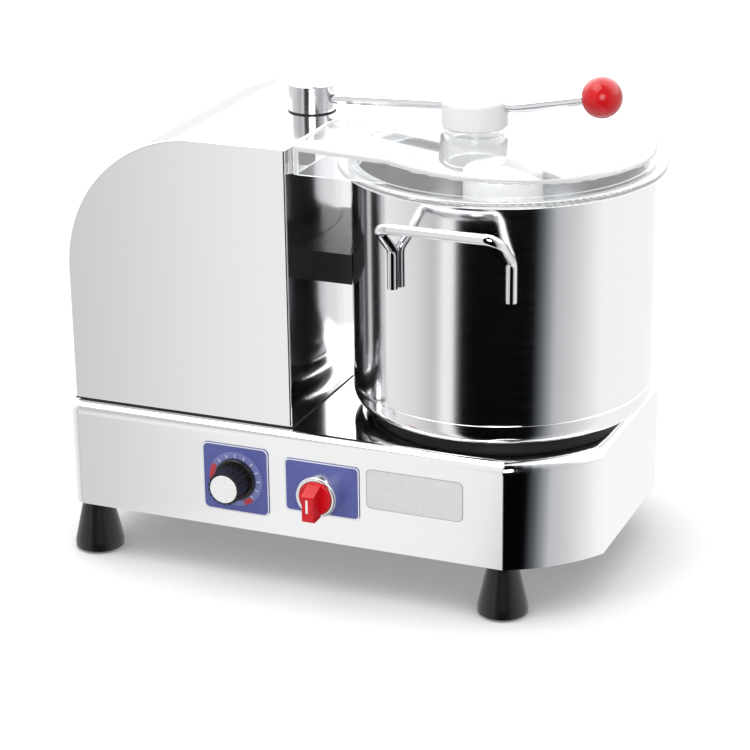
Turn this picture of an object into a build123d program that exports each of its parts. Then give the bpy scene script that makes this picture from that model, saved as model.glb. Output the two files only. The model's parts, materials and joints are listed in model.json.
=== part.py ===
from build123d import *
from math import atan, degrees, sqrt
import os

# Table-top bowl cutter: a bowl with a blade unit on the right, a motor housing on the left,
# both on one sheet-steel base. Millimetres, +Z up, the front faces -Y.
# The origin lies on the table, in the middle of the machine's box.

# Driving dimensions.
foot_height = 39.0
foot_top_diameter = 22.0
foot_bottom_diameter = 36.0
foot_inset_x = 13.0
foot_inset_y = 15.0
right_feet_from_left = 328.5

base_length = 389.5
base_depth = 228.5
base_height = 78.0
base_sheet = 2.0
base_top_bend = 8.0
base_corner_radius = 9.0
front_flat_length = 333.0
side_flat_start = 51.0
round_corner_radius = 117.0
floor_sheet = 1.5

housing_from_left = 2.0
housing_from_front = 10.4
housing_width = 171.0
housing_depth = 186.5
lid_rise = 24.9
housing_shoulder_radius = 102.5
housing_sheet = 1.5
housing_bend = 1.4
gasket_height = 1.2
gasket_width = 5.0

bowl_from_left = 291.7
bowl_from_front = 114.2
bowl_radius = 106.0
bowl_height = 171.0
bowl_sheet = 1.6
bowl_bottom_radius = 9.0
bowl_lift = 5.6
bowl_rim_bead = 1.6
bowl_tube_diameter = 34.0
bowl_tube_height = 58.0
seat_ring_diameter = 186.0
seat_ring_width = 14.0

handle_rod_diameter = 7.5
handle_spread = 42.3
handle_leg_bottom = 106.0
handle_leg_length = 28.0
handle_rise = 23.0
handle_reach = 28.0
handle_bend_radius = 9.0

lid_flange_radius = 114.2
lid_flange_thickness = 4.0
lid_wall = 3.0
lid_skirt_depth = 6.0
lid_slope = 0.0454
ear_from_front = 20.4
ear_depth = 173.4
ear_lift = 5.1
ear_corner_radius = 3.0
ear_blend_radius = 16.0
chimney_from_bowl_axis = 20.9
chimney_diameter = 43.0
chimney_wall = 3.0
chimney_length = 26.9
chimney_rim_lift = 3.7

head_from_left = 147.9
head_diameter = 33.6
head_height = 19.5
head_ring_height = 0.9
post_diameter = 12.0
post_bush_diameter = 20.0
post_bush_length = 22.0
arm_rod_diameter = 8.0
arm_start_height = 9.1
arm_bend_from_head = 156.0
arm_first_rise = 6.3
ball_diameter = 28.0
ball_from_head = 214.4
ball_rise = 17.9
arm_bend_radius = 60.0
clamp_knob_diameter = 47.0
clamp_knob_height = 20.8
clamp_knob_gap = 0.3

spindle_diameter = 20.0
spindle_top_above_floor = 128.0
bearing_housing_diameter = 56.0
bearing_flange_diameter = 84.0
bearing_housing_length = 50.0
bearing_outer_diameter = 42.0
bearing_width = 12.0
pulley_width = 13.0
driven_pulley_diameter = 110.0
motor_pulley_diameter = 36.0
belt_thickness = 3.0
belt_gap = 0.3
pulley_height_above_floor = 8.0
running_gap = 0.05

hub_diameter = 46.0
hub_cap_diameter = 56.0
hub_cap_height = 27.0
hub_top_below_rim = 4.8
blade_ring_diameter = 60.0
blade_lock_height = 12.0
hub_floor_gap = 1.2
blade_thickness = 2.2
blade_reach = 98.0
lower_blade_height = 7.0
upper_blade_height = 42.0

motor_from_left = 88.0
motor_from_front = 104.0
motor_diameter = 118.0
motor_length = 132.0
motor_shaft_diameter = 14.0
motor_foot_thickness = 6.0
motor_foot_size = 128.0
motor_cap_height = 16.0

plate_thickness = 0.8
speed_plate_size = 51.0
speed_plate_corner = 4.0
speed_from_left = 133.6
speed_above_base = 38.2
speed_knob_diameter = 31.0
speed_knob_grip_diameter = 25.5
speed_knob_height = 19.4
speed_cap_diameter = 20.4
selector_plate_width = 56.4
selector_plate_height = 39.5
selector_plate_corner = 3.0
selector_plate_from_left = 200.0
selector_plate_above_base = 40.5
selector_from_left = 201.2
selector_above_base = 39.6
bezel_diameter = 30.0
bezel_depth = 14.3
bezel_bore = 25.0
selector_disc_diameter = 24.2
selector_disc_proud = 1.5
selector_grip_width = 9.5
selector_grip_reach = 12.0
selector_grip_below = 13.0
selector_grip_above = 6.0
panel_hole_diameter = 22.3
label_width = 71.4
label_height = 29.6
label_corner = 4.0
label_from_left = 269.0
label_above_base = 46.0

guide_block_width = 10.0
guide_block_depth = 104.0
guide_block_height = 22.0
guide_block_above_base = 92.5
guide_clearance = 0.4

touch = 0.05            # room left between two curved faces that bear on each other
screw_diameter = 4.0
screw_head_diameter = 7.5

# Places that follow from them.
controls_reach = plate_thickness + bezel_depth + selector_disc_proud + selector_grip_reach
handle_wall_y = sqrt((bowl_radius + handle_rod_diameter / 2 + touch) ** 2 - handle_spread**2)
back_reach = bowl_from_front + handle_wall_y + handle_reach + handle_rod_diameter / 2
low_x = min(0.0, foot_inset_x - foot_bottom_diameter / 2)
left = -(low_x + bowl_from_left + lid_flange_radius) / 2      # x of the base's left side
front = (controls_reach - back_reach) / 2                      # y of the base's front
back = front + base_depth
base_z = foot_height
base_top = base_z + base_height
floor_top = base_z + floor_sheet
bowl_x = left + bowl_from_left
bowl_y = front + bowl_from_front
bowl_z = base_top + bowl_lift
rim_z = bowl_z + bowl_height
housing_x = left + housing_from_left
housing_right = housing_x + housing_width
housing_y = front + housing_from_front
housing_back = housing_y + housing_depth
housing_z = base_top + gasket_height
housing_top = rim_z + lid_rise
housing_height = housing_top - base_top
flange_top = rim_z + lid_flange_thickness
chimney_x = bowl_x - chimney_from_bowl_axis
head_x = left + head_from_left
head_z = housing_top + head_ring_height
motor_x = left + motor_from_left
motor_y = front + motor_from_front
pulley_z = floor_top + pulley_height_above_floor
bowl_floor = bowl_z + bowl_sheet
flange_bolt_circle = (bearing_housing_diameter + bearing_flange_diameter) / 4
motor_screw_spread = motor_foot_size - 18.0
hub_bore = bowl_tube_diameter / 2 + 1.0


def save(piece, name):
    """Label a finished piece and write it under its own name."""
    piece.part.label = name
    export_step(piece.part, f"parts/{name}.step")


os.makedirs("parts", exist_ok=True)

# Base: one folded sheet with its right end round about the bowl.
with BuildSketch() as base_plan:
    with BuildLine():
        front_edge = Line((left, front), (left + front_flat_length, front))
        front_sweep = RadiusArc(
            front_edge @ 1, (left + base_length, front + side_flat_start), -round_corner_radius
        )
        side_edge = Line(front_sweep @ 1, (left + base_length, back - side_flat_start))
        back_sweep = RadiusArc(side_edge @ 1, (left + front_flat_length, back), -round_corner_radius)
        back_edge = Line(back_sweep @ 1, (left, back))
        Line(back_edge @ 1, (left, front))
    make_face()
    fillet(base_plan.vertices().group_by(Axis.X)[0], base_corner_radius)

with BuildSketch() as base_inside_plan:
    add(base_plan.sketch)
    offset(amount=-base_sheet, kind=Kind.INTERSECTION)

with BuildSketch() as floor_plan:
    add(base_plan.sketch)
    offset(amount=-base_sheet - guide_clearance, kind=Kind.INTERSECTION)

with BuildPart() as base_cavity:
    with BuildSketch(Plane.XY.offset(base_z)):
        add(base_inside_plan.sketch)
    extrude(amount=base_height - base_sheet)
    fillet(base_cavity.edges().group_by(Axis.Z)[-1], base_top_bend - base_sheet)

foot_places = [
    (left + foot_inset_x, front + foot_inset_y),
    (left + right_feet_from_left, front + foot_inset_y),
    (left + foot_inset_x, back - foot_inset_y),
    (left + right_feet_from_left, back - foot_inset_y),
]
tab_size = 14.0
tab_height = 8.0
tab_places = [
    (left + base_length / 3, front + base_sheet + tab_size / 2),
    (left + base_length * 2 / 3, front + base_sheet + tab_size / 2),
    (left + base_length / 3, back - base_sheet - tab_size / 2),
    (left + base_length * 2 / 3, back - base_sheet - tab_size / 2),
]
speed_z = base_z + speed_above_base
speed_x = left + speed_from_left
selector_x = left + selector_from_left
selector_z = base_z + selector_above_base
gland_x = left + base_length * 0.2
gland_z = base_z + base_height * 0.4
gland_thread_diameter = 16.0
pot_bush_diameter = 9.0
vent_slot = (42.0, 4.0)
cable_hole_inset = (30.0, 60.0)
cable_hole_diameter = 16.0
front_plane = Plane.XZ.offset(-front)
back_plane = Plane(origin=(0, back, 0), x_dir=(-1, 0, 0), z_dir=(0, 1, 0))

with BuildPart() as base_shell:
    with BuildSketch(Plane.XY.offset(base_z)):
        add(base_plan.sketch)
    extrude(amount=base_height)
    fillet(base_shell.edges().group_by(Axis.Z)[-1], base_top_bend)
    add(base_cavity.part, mode=Mode.SUBTRACT)
    with BuildSketch(Plane.XY.offset(base_top)):          # bearing housing, motor and cable holes
        with Locations((bowl_x, bowl_y)):
            Circle(bearing_housing_diameter / 2 + touch)
        with Locations((motor_x, motor_y)):
            Circle(motor_shaft_diameter)
            with GridLocations(motor_screw_spread, motor_screw_spread, 2, 2):
                Circle(screw_diameter / 2 + touch)
        with Locations((bowl_x, bowl_y)):
            with PolarLocations(flange_bolt_circle, 4, start_angle=45):
                Circle(screw_diameter / 2 + touch)
        with Locations((left + cable_hole_inset[0], back - cable_hole_inset[1])):
            Circle(cable_hole_diameter / 2)
    extrude(amount=-base_sheet, mode=Mode.SUBTRACT)
    with BuildSketch(front_plane):                         # holes for the two controls
        with Locations((speed_x, speed_z)):
            Circle(pot_bush_diameter / 2 + touch)
        with Locations((selector_x, selector_z)):
            Circle(panel_hole_diameter / 2)
    extrude(amount=-base_sheet, mode=Mode.SUBTRACT)
    with BuildSketch(back_plane):                          # cable inlet
        with Locations((-gland_x, gland_z)):
            Circle(gland_thread_diameter / 2 + touch)
    extrude(amount=-base_sheet, mode=Mode.SUBTRACT)
    with BuildSketch(Plane.XY.offset(floor_top)):          # welded tabs for the floor screws
        with Locations(*tab_places):
            Rectangle(tab_size, tab_size)
    extrude(amount=tab_height)
    with BuildSketch(Plane.XY.offset(floor_top)):
        with Locations(*tab_places):
            Circle(screw_diameter / 2 + touch)
    extrude(amount=tab_height, mode=Mode.SUBTRACT)
save(base_shell, "base_shell")

with BuildPart() as base_floor:
    with BuildSketch(Plane.XY.offset(base_z)):
        add(floor_plan.sketch)
        with Locations((motor_x, motor_y)):                # cooling slots under the motor
            with GridLocations(vent_slot[0] + 10, vent_slot[1] + 6, 2, 7):
                SlotOverall(*vent_slot, mode=Mode.SUBTRACT)
        with Locations(*foot_places):
            Circle(screw_diameter / 2 + touch, mode=Mode.SUBTRACT)
        with Locations(*tab_places):
            Circle(screw_diameter / 2 + touch, mode=Mode.SUBTRACT)
    extrude(amount=floor_sheet)
save(base_floor, "base_floor")


def pan_screw(length, head_height=2.4, head_diameter=screw_head_diameter):
    """A pan-head screw along +Z, its head below the origin and its shank above."""
    with BuildPart() as screw:
        with BuildSketch():
            Circle(head_diameter / 2)
        extrude(amount=-head_height)
        fillet(screw.edges().group_by(Axis.Z)[0], head_height * 0.45)
        with BuildSketch(Plane.XY.offset(-head_height)):
            Rectangle(head_diameter * 0.62, 0.9)
            Rectangle(0.9, head_diameter * 0.62)
        extrude(amount=0.8, mode=Mode.SUBTRACT)
        with BuildSketch():
            Circle(screw_diameter / 2)
        extrude(amount=length)
    return screw.part



# Feet: hollow-headed cones, each held by a bolt from below.
foot_recess_diameter = 13.0
foot_recess_depth = 24.0
foot_names = ["foot_front_left", "foot_front_right", "foot_rear_left", "foot_rear_right"]
for place, foot_name in zip(foot_places, foot_names):
    with BuildPart() as foot:
        with BuildSketch(Plane(origin=(*place, 0), x_dir=(1, 0, 0), z_dir=(0, -1, 0))):
            with BuildLine():
                Polyline(
                    (foot_recess_diameter / 2, 0),
                    (foot_bottom_diameter / 2 - 2, 0),
                    (foot_bottom_diameter / 2, 2),
                    (foot_bottom_diameter / 2, 6),
                    (foot_top_diameter / 2, foot_height - 2),
                    (foot_top_diameter / 2, foot_height),
                    (screw_diameter / 2 + touch, foot_height),
                    (screw_diameter / 2 + touch, foot_recess_depth),
                    (foot_recess_diameter / 2, foot_recess_depth),
                    close=True,
                )
            make_face()
        revolve(axis=Axis((*place, 0), (0, 0, 1)))
    save(foot, foot_name)

nut_height = 4.0
foot_bolt = pan_screw(foot_height - foot_recess_depth + floor_sheet + 5, head_diameter=10)
with BuildPart() as foot_bolts:
    with Locations(*[(x, y, foot_recess_depth) for x, y in foot_places]):
        add(foot_bolt)
    with BuildSketch(Plane.XY.offset(floor_top)):
        with Locations(*foot_places):
            RegularPolygon(4.2, 6, major_radius=False)
            Circle(screw_diameter / 2 + touch, mode=Mode.SUBTRACT)
    extrude(amount=nut_height)
save(foot_bolts, "foot_bolts")

# Motor housing: a curved-shouldered hood over the motor.
shoulder_x = housing_x + housing_shoulder_radius
shoulder_z = housing_top - housing_shoulder_radius
rear_window = (104.0, 118.0)
rear_window_above_base = 84.0
rear_window_z = base_top + rear_window_above_base
rear_cover_margin = 11.0
rear_cover_sheet = 1.2


def hood_profile(inset):
    """Front view of the hood, inset by a sheet thickness, on the plane of its front panel."""
    with BuildSketch(Plane.XZ.offset(-housing_y - inset)) as profile:
        with BuildLine():
            Polyline(
                (shoulder_x, housing_top - inset),
                (housing_right - inset, housing_top - inset),
                (housing_right - inset, housing_z),
                (housing_x + inset, housing_z),
                (housing_x + inset, shoulder_z),
            )
            CenterArc((shoulder_x, shoulder_z), housing_shoulder_radius - inset, 90, 90)
        make_face()
    return profile.sketch


with BuildPart() as hood_cavity:
    extrude(hood_profile(housing_sheet), amount=-(housing_depth - 2 * housing_sheet))

window_plane = Plane(
    origin=(motor_x, housing_back, rear_window_z), x_dir=(-1, 0, 0), z_dir=(0, 1, 0)
)
cover_screw_places = GridLocations(
    rear_window[0] + rear_cover_margin, rear_window[1] + rear_cover_margin, 2, 2
)
guide_z = base_top + guide_block_above_base
guide_y = bowl_y - guide_block_depth / 2
guide_screw_spread = guide_block_depth * 0.7
guide_screws_plane = Plane(
    origin=(housing_right, bowl_y, guide_z + guide_block_height / 2),
    x_dir=(0, 1, 0),
    z_dir=(1, 0, 0),
)
guide_screw_places = GridLocations(guide_screw_spread, 1, 2, 1)

with BuildPart() as housing_shell:
    extrude(hood_profile(0), amount=-housing_depth)
    rim_edges = housing_shell.edges().filter_by(
        lambda edge: edge.center().Z > housing_z + 1 and abs((edge @ 0 - edge @ 1).Y) < 1
    )
    top_right_edge = housing_shell.edges().filter_by(Axis.Y).sort_by(Axis.Z)[-2:].sort_by(Axis.X)[-1]
    fillet(rim_edges + [top_right_edge], housing_bend)
    add(hood_cavity.part, mode=Mode.SUBTRACT)
    with BuildSketch(window_plane):
        RectangleRounded(*rear_window, 6)
        with cover_screw_places:
            Circle(screw_diameter / 2 + touch)
    extrude(amount=-housing_sheet, mode=Mode.SUBTRACT)
    with BuildSketch(Plane.XY.offset(housing_top)):
        with Locations((head_x, bowl_y)):
            Circle(post_bush_diameter / 2 + touch)
    extrude(amount=-housing_sheet, mode=Mode.SUBTRACT)
    with BuildSketch(guide_screws_plane):
        with guide_screw_places:
            Circle(screw_diameter / 2 + touch)
    extrude(amount=-housing_sheet, mode=Mode.SUBTRACT)
save(housing_shell, "housing_shell")

with BuildPart() as housing_gasket:
    with BuildSketch(Plane.XY.offset(base_top)):
        with Locations((housing_x + housing_width / 2, housing_y + housing_depth / 2)):
            Rectangle(housing_width, housing_depth)
            Rectangle(
                housing_width - 2 * gasket_width,
                housing_depth - 2 * gasket_width,
                mode=Mode.SUBTRACT,
            )
    extrude(amount=gasket_height)

louvre = (30.0, 4.0)
louvre_pitch = 9.0
with BuildPart() as rear_vent_cover:
    with BuildSketch(window_plane):
        RectangleRounded(
            rear_window[0] + 2 * rear_cover_margin, rear_window[1] + 2 * rear_cover_margin, 8
        )
        with cover_screw_places:
            Circle(screw_diameter / 2 + touch, mode=Mode.SUBTRACT)
        with GridLocations(louvre[0] + 4, louvre_pitch, 3, 11):
            SlotOverall(*louvre, mode=Mode.SUBTRACT)
    extrude(amount=rear_cover_sheet)
save(rear_vent_cover, "rear_vent_cover")

# Bowl, its seat and its two handles.
bowl_axis = Axis((bowl_x, bowl_y, 0), (0, 0, 1))
bowl_section = Plane(origin=(bowl_x, bowl_y, 0), x_dir=(1, 0, 0), z_dir=(0, -1, 0))
bowl_seam_height = 15.9
bowl_groove = 0.4
seam_z = bowl_z + bowl_seam_height
tube_inner = bowl_tube_diameter / 2 - bowl_sheet
bend_centre = (bowl_radius - bowl_bottom_radius, bowl_z + bowl_bottom_radius)

with BuildPart() as bowl:                                  # the wall, beaded at the rim
    with BuildSketch(bowl_section):
        with BuildLine():
            Polyline(
                (bowl_radius - bowl_groove, seam_z),
                (bowl_radius, seam_z + bowl_groove),
                (bowl_radius, rim_z - 2 * bowl_rim_bead),
                (bowl_radius + bowl_rim_bead, rim_z - 2 * bowl_rim_bead),
                (bowl_radius + bowl_rim_bead, rim_z),
                (bowl_radius - bowl_sheet, rim_z),
                (bowl_radius - bowl_sheet, seam_z),
                close=True,
            )
        make_face()
    revolve(axis=bowl_axis)
save(bowl, "bowl")

with BuildPart() as bowl_base:                             # the pressed bottom, welded to the wall
    with BuildSketch(bowl_section):
        with BuildLine():
            Line((tube_inner, bowl_z), (bend_centre[0], bowl_z))
            CenterArc(bend_centre, bowl_bottom_radius, -90, 90)
            Polyline(
                (bowl_radius, bend_centre[1]),
                (bowl_radius, seam_z - bowl_groove),
                (bowl_radius - bowl_groove, seam_z),
                (bowl_radius - bowl_sheet, seam_z),
                (bowl_radius - bowl_sheet, bend_centre[1]),
            )
            CenterArc(bend_centre, bowl_bottom_radius - bowl_sheet, 0, -90)
            Polyline((bend_centre[0], bowl_floor), (tube_inner, bowl_floor), (tube_inner, bowl_z))
        make_face()
    revolve(axis=bowl_axis)
save(bowl_base, "bowl_base")

with BuildPart() as bowl_tube:                             # keeps food away from the spindle
    with BuildSketch(Plane.XY.offset(bowl_floor)):
        with Locations((bowl_x, bowl_y)):
            Circle(bowl_tube_diameter / 2)
            Circle(tube_inner, mode=Mode.SUBTRACT)
    extrude(amount=bowl_tube_height)
save(bowl_tube, "bowl_tube")

with BuildPart() as bowl_seat_ring:
    with BuildSketch(Plane.XY.offset(base_top)):
        with Locations((bowl_x, bowl_y)):
            Circle(seat_ring_diameter / 2)
            Circle(seat_ring_diameter / 2 - seat_ring_width, mode=Mode.SUBTRACT)
    extrude(amount=bowl_lift)
    chamfer(bowl_seat_ring.edges().group_by(Axis.Z)[-1], 1)
save(bowl_seat_ring, "bowl_seat_ring")

for side, handle_name in ((-1, "bowl_handle_front"), (1, "bowl_handle_rear")):
    wall_y = bowl_y + side * handle_wall_y
    bar_y = wall_y + side * handle_reach
    leg_z = bowl_z + handle_leg_bottom
    knee_z = leg_z + handle_leg_length
    with BuildPart() as bowl_handle:
        with BuildLine() as handle_path:
            FilletPolyline(
                (bowl_x - handle_spread, wall_y, leg_z),
                (bowl_x - handle_spread, wall_y, knee_z),
                (bowl_x - handle_spread, bar_y, knee_z + handle_rise),
                (bowl_x + handle_spread, bar_y, knee_z + handle_rise),
                (bowl_x + handle_spread, wall_y, knee_z),
                (bowl_x + handle_spread, wall_y, leg_z),
                radius=handle_bend_radius,
            )
        with BuildSketch(Plane(origin=handle_path.line @ 0, z_dir=handle_path.line % 0)):
            Circle(handle_rod_diameter / 2)
        sweep(path=handle_path.line)
    save(bowl_handle, handle_name)

# Bowl guide on the housing wall: a plastic block hollowed to the bowl.
with BuildPart() as bowl_guide_block:
    with BuildSketch(Plane.XY.offset(guide_z)):
        with Locations((housing_right, guide_y)):
            Rectangle(bowl_x - housing_right, guide_block_depth, align=(Align.MIN, Align.MIN))
        with Locations((bowl_x, bowl_y)):
            Circle(bowl_radius + guide_clearance, mode=Mode.SUBTRACT)
    extrude(amount=guide_block_height)
    with BuildSketch(guide_screws_plane):
        with guide_screw_places:
            Circle(screw_diameter / 2 + touch)
    extrude(amount=guide_block_width, mode=Mode.SUBTRACT)
save(bowl_guide_block, "bowl_guide_block")

# Clear lid: a shallow pan over the bowl, run out to the housing, with a feed chimney.
lid_plane_x = housing_right
ear_bottom = rim_z + ear_lift
ear_y = front + ear_from_front
chimney_radius = chimney_diameter / 2
lid_top_at_chimney = housing_top - lid_slope * (chimney_x - lid_plane_x)
chimney_rim_z = lid_top_at_chimney + chimney_rim_lift
skirt_clearance = 0.5
skirt_wall = 2.5
skirt_radius = bowl_radius - bowl_sheet - skirt_clearance
inner_skirt_radius = skirt_radius - skirt_wall
lid_edge_radius = 2.0
flange_edge_radius = 1.4


def pan_plan(inset):
    """Plan of the lid's raised pan: a disc over the bowl joined to the ear at the housing."""
    with BuildSketch() as plan:
        with Locations((lid_plane_x + guide_clearance + inset, ear_y + inset)):
            Rectangle(
                bowl_x - lid_plane_x - guide_clearance - inset,
                ear_depth - 2 * inset,
                align=(Align.MIN, Align.MIN),
            )
        with Locations((bowl_x, bowl_y)):
            Circle(bowl_radius - inset)
        outline = plan.vertices().sort_by(Axis.X)
        fillet(outline[:2], ear_corner_radius if inset == 0 else 1)
        fillet(plan.vertices().sort_by(Axis.X)[4:6], ear_blend_radius + inset)
    return plan.sketch


lid_tilt = degrees(atan(lid_slope))


def sloped_cut(drop):
    """Everything above the lid's gently sloping top, lowered by drop."""
    top_plane = Plane(origin=(lid_plane_x, bowl_y, housing_top - drop)).rotated((0, lid_tilt, 0))
    with BuildPart() as above:
        with BuildSketch(top_plane):
            Rectangle(8 * bowl_radius, 8 * bowl_radius)
        extrude(amount=housing_height)
    return above.part


def pan_block(inset, drop):
    """The lid's raised pan as a solid block, inset all round and lowered at its top."""
    with BuildPart() as block:
        with BuildSketch(Plane.XY.offset(ear_bottom)):
            add(pan_plan(inset))
        extrude(amount=housing_height)
        add(sloped_cut(drop), mode=Mode.SUBTRACT)
    return block.part


def chimney_bar(radius):
    """A round bar as long as the chimney, in its place."""
    with BuildPart() as bar:
        with BuildSketch(Plane.XY.offset(chimney_rim_z)):
            with Locations((chimney_x, bowl_y)):
                Circle(radius)
        extrude(amount=-chimney_length)
    return bar.part


with BuildPart() as lid:                                   # the sloping plate and the chimney's rim
    add(pan_block(0, 0))
    fillet(lid.faces().sort_by(SortBy.AREA)[-1].edges(), lid_edge_radius)
    add(chimney_bar(chimney_radius))
    add(sloped_cut(lid_wall), mode=Mode.INTERSECT)
    add(chimney_bar(chimney_radius - chimney_wall), mode=Mode.SUBTRACT)
save(lid, "lid")

with BuildPart() as lid_side:                              # the upright wall under the plate's edge
    add(pan_block(0, lid_wall))
    add(pan_block(lid_wall, lid_wall), mode=Mode.SUBTRACT)
save(lid_side, "lid_side")

with BuildPart() as lid_rim:                               # the flange and the skirt in the bowl
    with BuildSketch(bowl_section):
        with BuildLine():
            Polyline(
                (inner_skirt_radius, rim_z - lid_skirt_depth),
                (skirt_radius, rim_z - lid_skirt_depth),
                (skirt_radius, rim_z),
                (lid_flange_radius, rim_z),
                (lid_flange_radius, flange_top),
                (bowl_radius, flange_top),
                (bowl_radius, ear_bottom),
                (inner_skirt_radius, ear_bottom),
                close=True,
            )
        make_face()
    revolve(axis=bowl_axis)
    fillet(lid_rim.edges().filter_by(GeomType.CIRCLE).group_by(SortBy.LENGTH)[-1], flange_edge_radius)
save(lid_rim, "lid_rim")

with BuildPart() as lid_chimney:                           # the feed tube under the plate
    add(chimney_bar(chimney_radius))
    add(chimney_bar(chimney_radius - chimney_wall), mode=Mode.SUBTRACT)
    add(sloped_cut(lid_wall), mode=Mode.SUBTRACT)
save(lid_chimney, "lid_chimney")

magnet_size = (7.0, 14.0, 10.0)
with BuildPart() as lid_magnet:
    with BuildSketch(Plane.XY.offset(housing_top - lid_wall - lid_slope * 12 - magnet_size[2])):
        with Locations((lid_plane_x + guide_clearance + lid_wall + 0.3, ear_y + lid_wall + 2)):
            Rectangle(magnet_size[0], magnet_size[1], align=(Align.MIN, Align.MIN))
    extrude(amount=magnet_size[2] - 0.2)
    fillet(lid_magnet.edges().filter_by(Axis.Z), 1)
save(lid_magnet, "lid_magnet")

# Clamp arm: a turning head on the housing, a bent rod, the clamp knob and the ball.
post_x = head_x
arm_start_z = housing_top + arm_start_height
ball_x = head_x + ball_from_head
ball_z = arm_start_z + ball_rise
bush_flange_diameter = 26.0
bush_flange_thickness = 2.0
bush_bottom = housing_top - post_bush_length
cam_diameter = 24.0
cam_thickness = 5.0
cam_flat = 9.0
cam_gap = 0.3
cam_top = bush_bottom - cam_gap
post_section = Plane(origin=(head_x, bowl_y, 0), x_dir=(1, 0, 0), z_dir=(0, -1, 0))
post_axis = Axis((head_x, bowl_y, 0), (0, 0, 1))

with BuildLine() as arm_path:
    FilletPolyline(
        (head_x + 5, bowl_y, arm_start_z + 5 * arm_first_rise / arm_bend_from_head),
        (head_x + arm_bend_from_head, bowl_y, arm_start_z + arm_first_rise),
        (ball_x, bowl_y, ball_z),
        radius=arm_bend_radius,
    )
arm_line = arm_path.line


def arm_rod(radius):
    """The clamp arm's round rod, at the given radius."""
    with BuildPart() as rod:
        with BuildSketch(Plane(origin=arm_line @ 0, z_dir=arm_line % 0)):
            Circle(radius)
        sweep(path=arm_line)
    return rod.part


arm_space = arm_rod(arm_rod_diameter / 2 + touch)
with BuildPart() as clamp_arm:
    add(arm_rod(arm_rod_diameter / 2))
save(clamp_arm, "clamp_arm")

with BuildPart() as arm_head:
    with BuildSketch(Plane.XY.offset(head_z)):
        with Locations((head_x, bowl_y)):
            Circle(head_diameter / 2)
    extrude(amount=head_height)
    chamfer(arm_head.edges().group_by(Axis.Z)[-1], 0.7)
    add(arm_space, mode=Mode.SUBTRACT)
save(arm_head, "arm_head")

head_ring_lift = 0.1
head_ring_proud = 0.4
with BuildPart() as gaskets:                               # under the hood and under the arm's head
    add(housing_gasket.part)
    with BuildSketch(Plane.XY.offset(housing_top + head_ring_lift)):
        with Locations((head_x, bowl_y)):
            Circle(head_diameter / 2 + head_ring_proud)
            Circle(post_diameter / 2 + touch, mode=Mode.SUBTRACT)
    extrude(amount=head_ring_height - head_ring_lift)
save(gaskets, "gaskets")

with BuildPart() as arm_post:
    with BuildSketch(Plane.XY.offset(head_z)):
        with Locations((head_x, bowl_y)):
            Circle(post_diameter / 2)
    extrude(amount=-(head_z - cam_top + cam_thickness + 1))
    chamfer(arm_post.edges().group_by(Axis.Z)[0], 0.6)
save(arm_post, "arm_post")

with BuildPart() as post_bush:
    with BuildSketch(post_section):
        with BuildLine():
            Polyline(
                (post_diameter / 2 + running_gap, bush_bottom),
                (post_bush_diameter / 2, bush_bottom),
                (post_bush_diameter / 2, housing_top - housing_sheet - bush_flange_thickness),
                (bush_flange_diameter / 2, housing_top - housing_sheet - bush_flange_thickness),
                (bush_flange_diameter / 2, housing_top - housing_sheet),
                (post_bush_diameter / 2, housing_top - housing_sheet),
                (post_bush_diameter / 2, housing_top),
                (post_diameter / 2 + running_gap, housing_top),
                close=True,
            )
        make_face()
    revolve(axis=post_axis)
save(post_bush, "post_bush")

with BuildPart() as interlock_cam:
    with BuildSketch(Plane.XY.offset(cam_top)):
        with Locations((head_x, bowl_y)):
            Circle(cam_diameter / 2)
            with Locations((0, cam_flat)):
                Rectangle(cam_diameter, cam_diameter, align=(Align.CENTER, Align.MIN), mode=Mode.SUBTRACT)
            Circle(post_diameter / 2 + touch, mode=Mode.SUBTRACT)
    extrude(amount=-cam_thickness)
save(interlock_cam, "interlock_cam")

switch_size = (11.0, 20.0, 16.0)
plunger_diameter = 4.0
plunger_length = 3.0
switch_right = head_x - cam_diameter / 2 - 0.5 - plunger_length
switch_z = cam_top - cam_thickness / 2
bracket_sheet = 1.5
with BuildPart() as interlock_switch:
    with BuildSketch(Plane(origin=(switch_right, bowl_y, switch_z), x_dir=(0, 1, 0), z_dir=(1, 0, 0))):
        Rectangle(switch_size[1], switch_size[2])
        with GridLocations(switch_size[1] * 0.5, 1, 2, 1):
            Circle(1.5, mode=Mode.SUBTRACT)
    extrude(amount=-switch_size[0])
    with BuildSketch(Plane(origin=(switch_right, bowl_y, switch_z), x_dir=(0, 1, 0), z_dir=(1, 0, 0))):
        Circle(plunger_diameter / 2)
    extrude(amount=plunger_length)
    with BuildSketch(Plane.XZ.offset(-bowl_y - switch_size[1] / 2)):
        with BuildLine():
            switch_left = switch_right - switch_size[0]
            bracket_top = housing_top - housing_sheet
            Polyline(
                (switch_left, switch_z - switch_size[2] / 2),
                (switch_left, bracket_top - bracket_sheet),
                (switch_left + switch_size[0], bracket_top - bracket_sheet),
                (switch_left + switch_size[0], bracket_top),
                (switch_left - bracket_sheet, bracket_top),
                (switch_left - bracket_sheet, switch_z - switch_size[2] / 2),
                close=True,
            )
        make_face()
    extrude(amount=switch_size[1])
save(interlock_switch, "interlock_switch")

knob_z = chimney_rim_z + clamp_knob_gap
with BuildPart() as clamp_knob:
    with BuildSketch(Plane.XY.offset(knob_z)):
        with Locations((chimney_x, bowl_y)):
            Circle(clamp_knob_diameter / 2)
    extrude(amount=clamp_knob_height)
    fillet(clamp_knob.edges().group_by(Axis.Z)[-1], 4)
    chamfer(clamp_knob.edges().group_by(Axis.Z)[0], 1.2)
    add(arm_space, mode=Mode.SUBTRACT)
save(clamp_knob, "clamp_knob")

with BuildPart() as ball_grip:
    with Locations((ball_x, bowl_y, ball_z)):
        Sphere(ball_diameter / 2)
    add(arm_space, mode=Mode.SUBTRACT)
save(ball_grip, "ball_grip")

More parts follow.
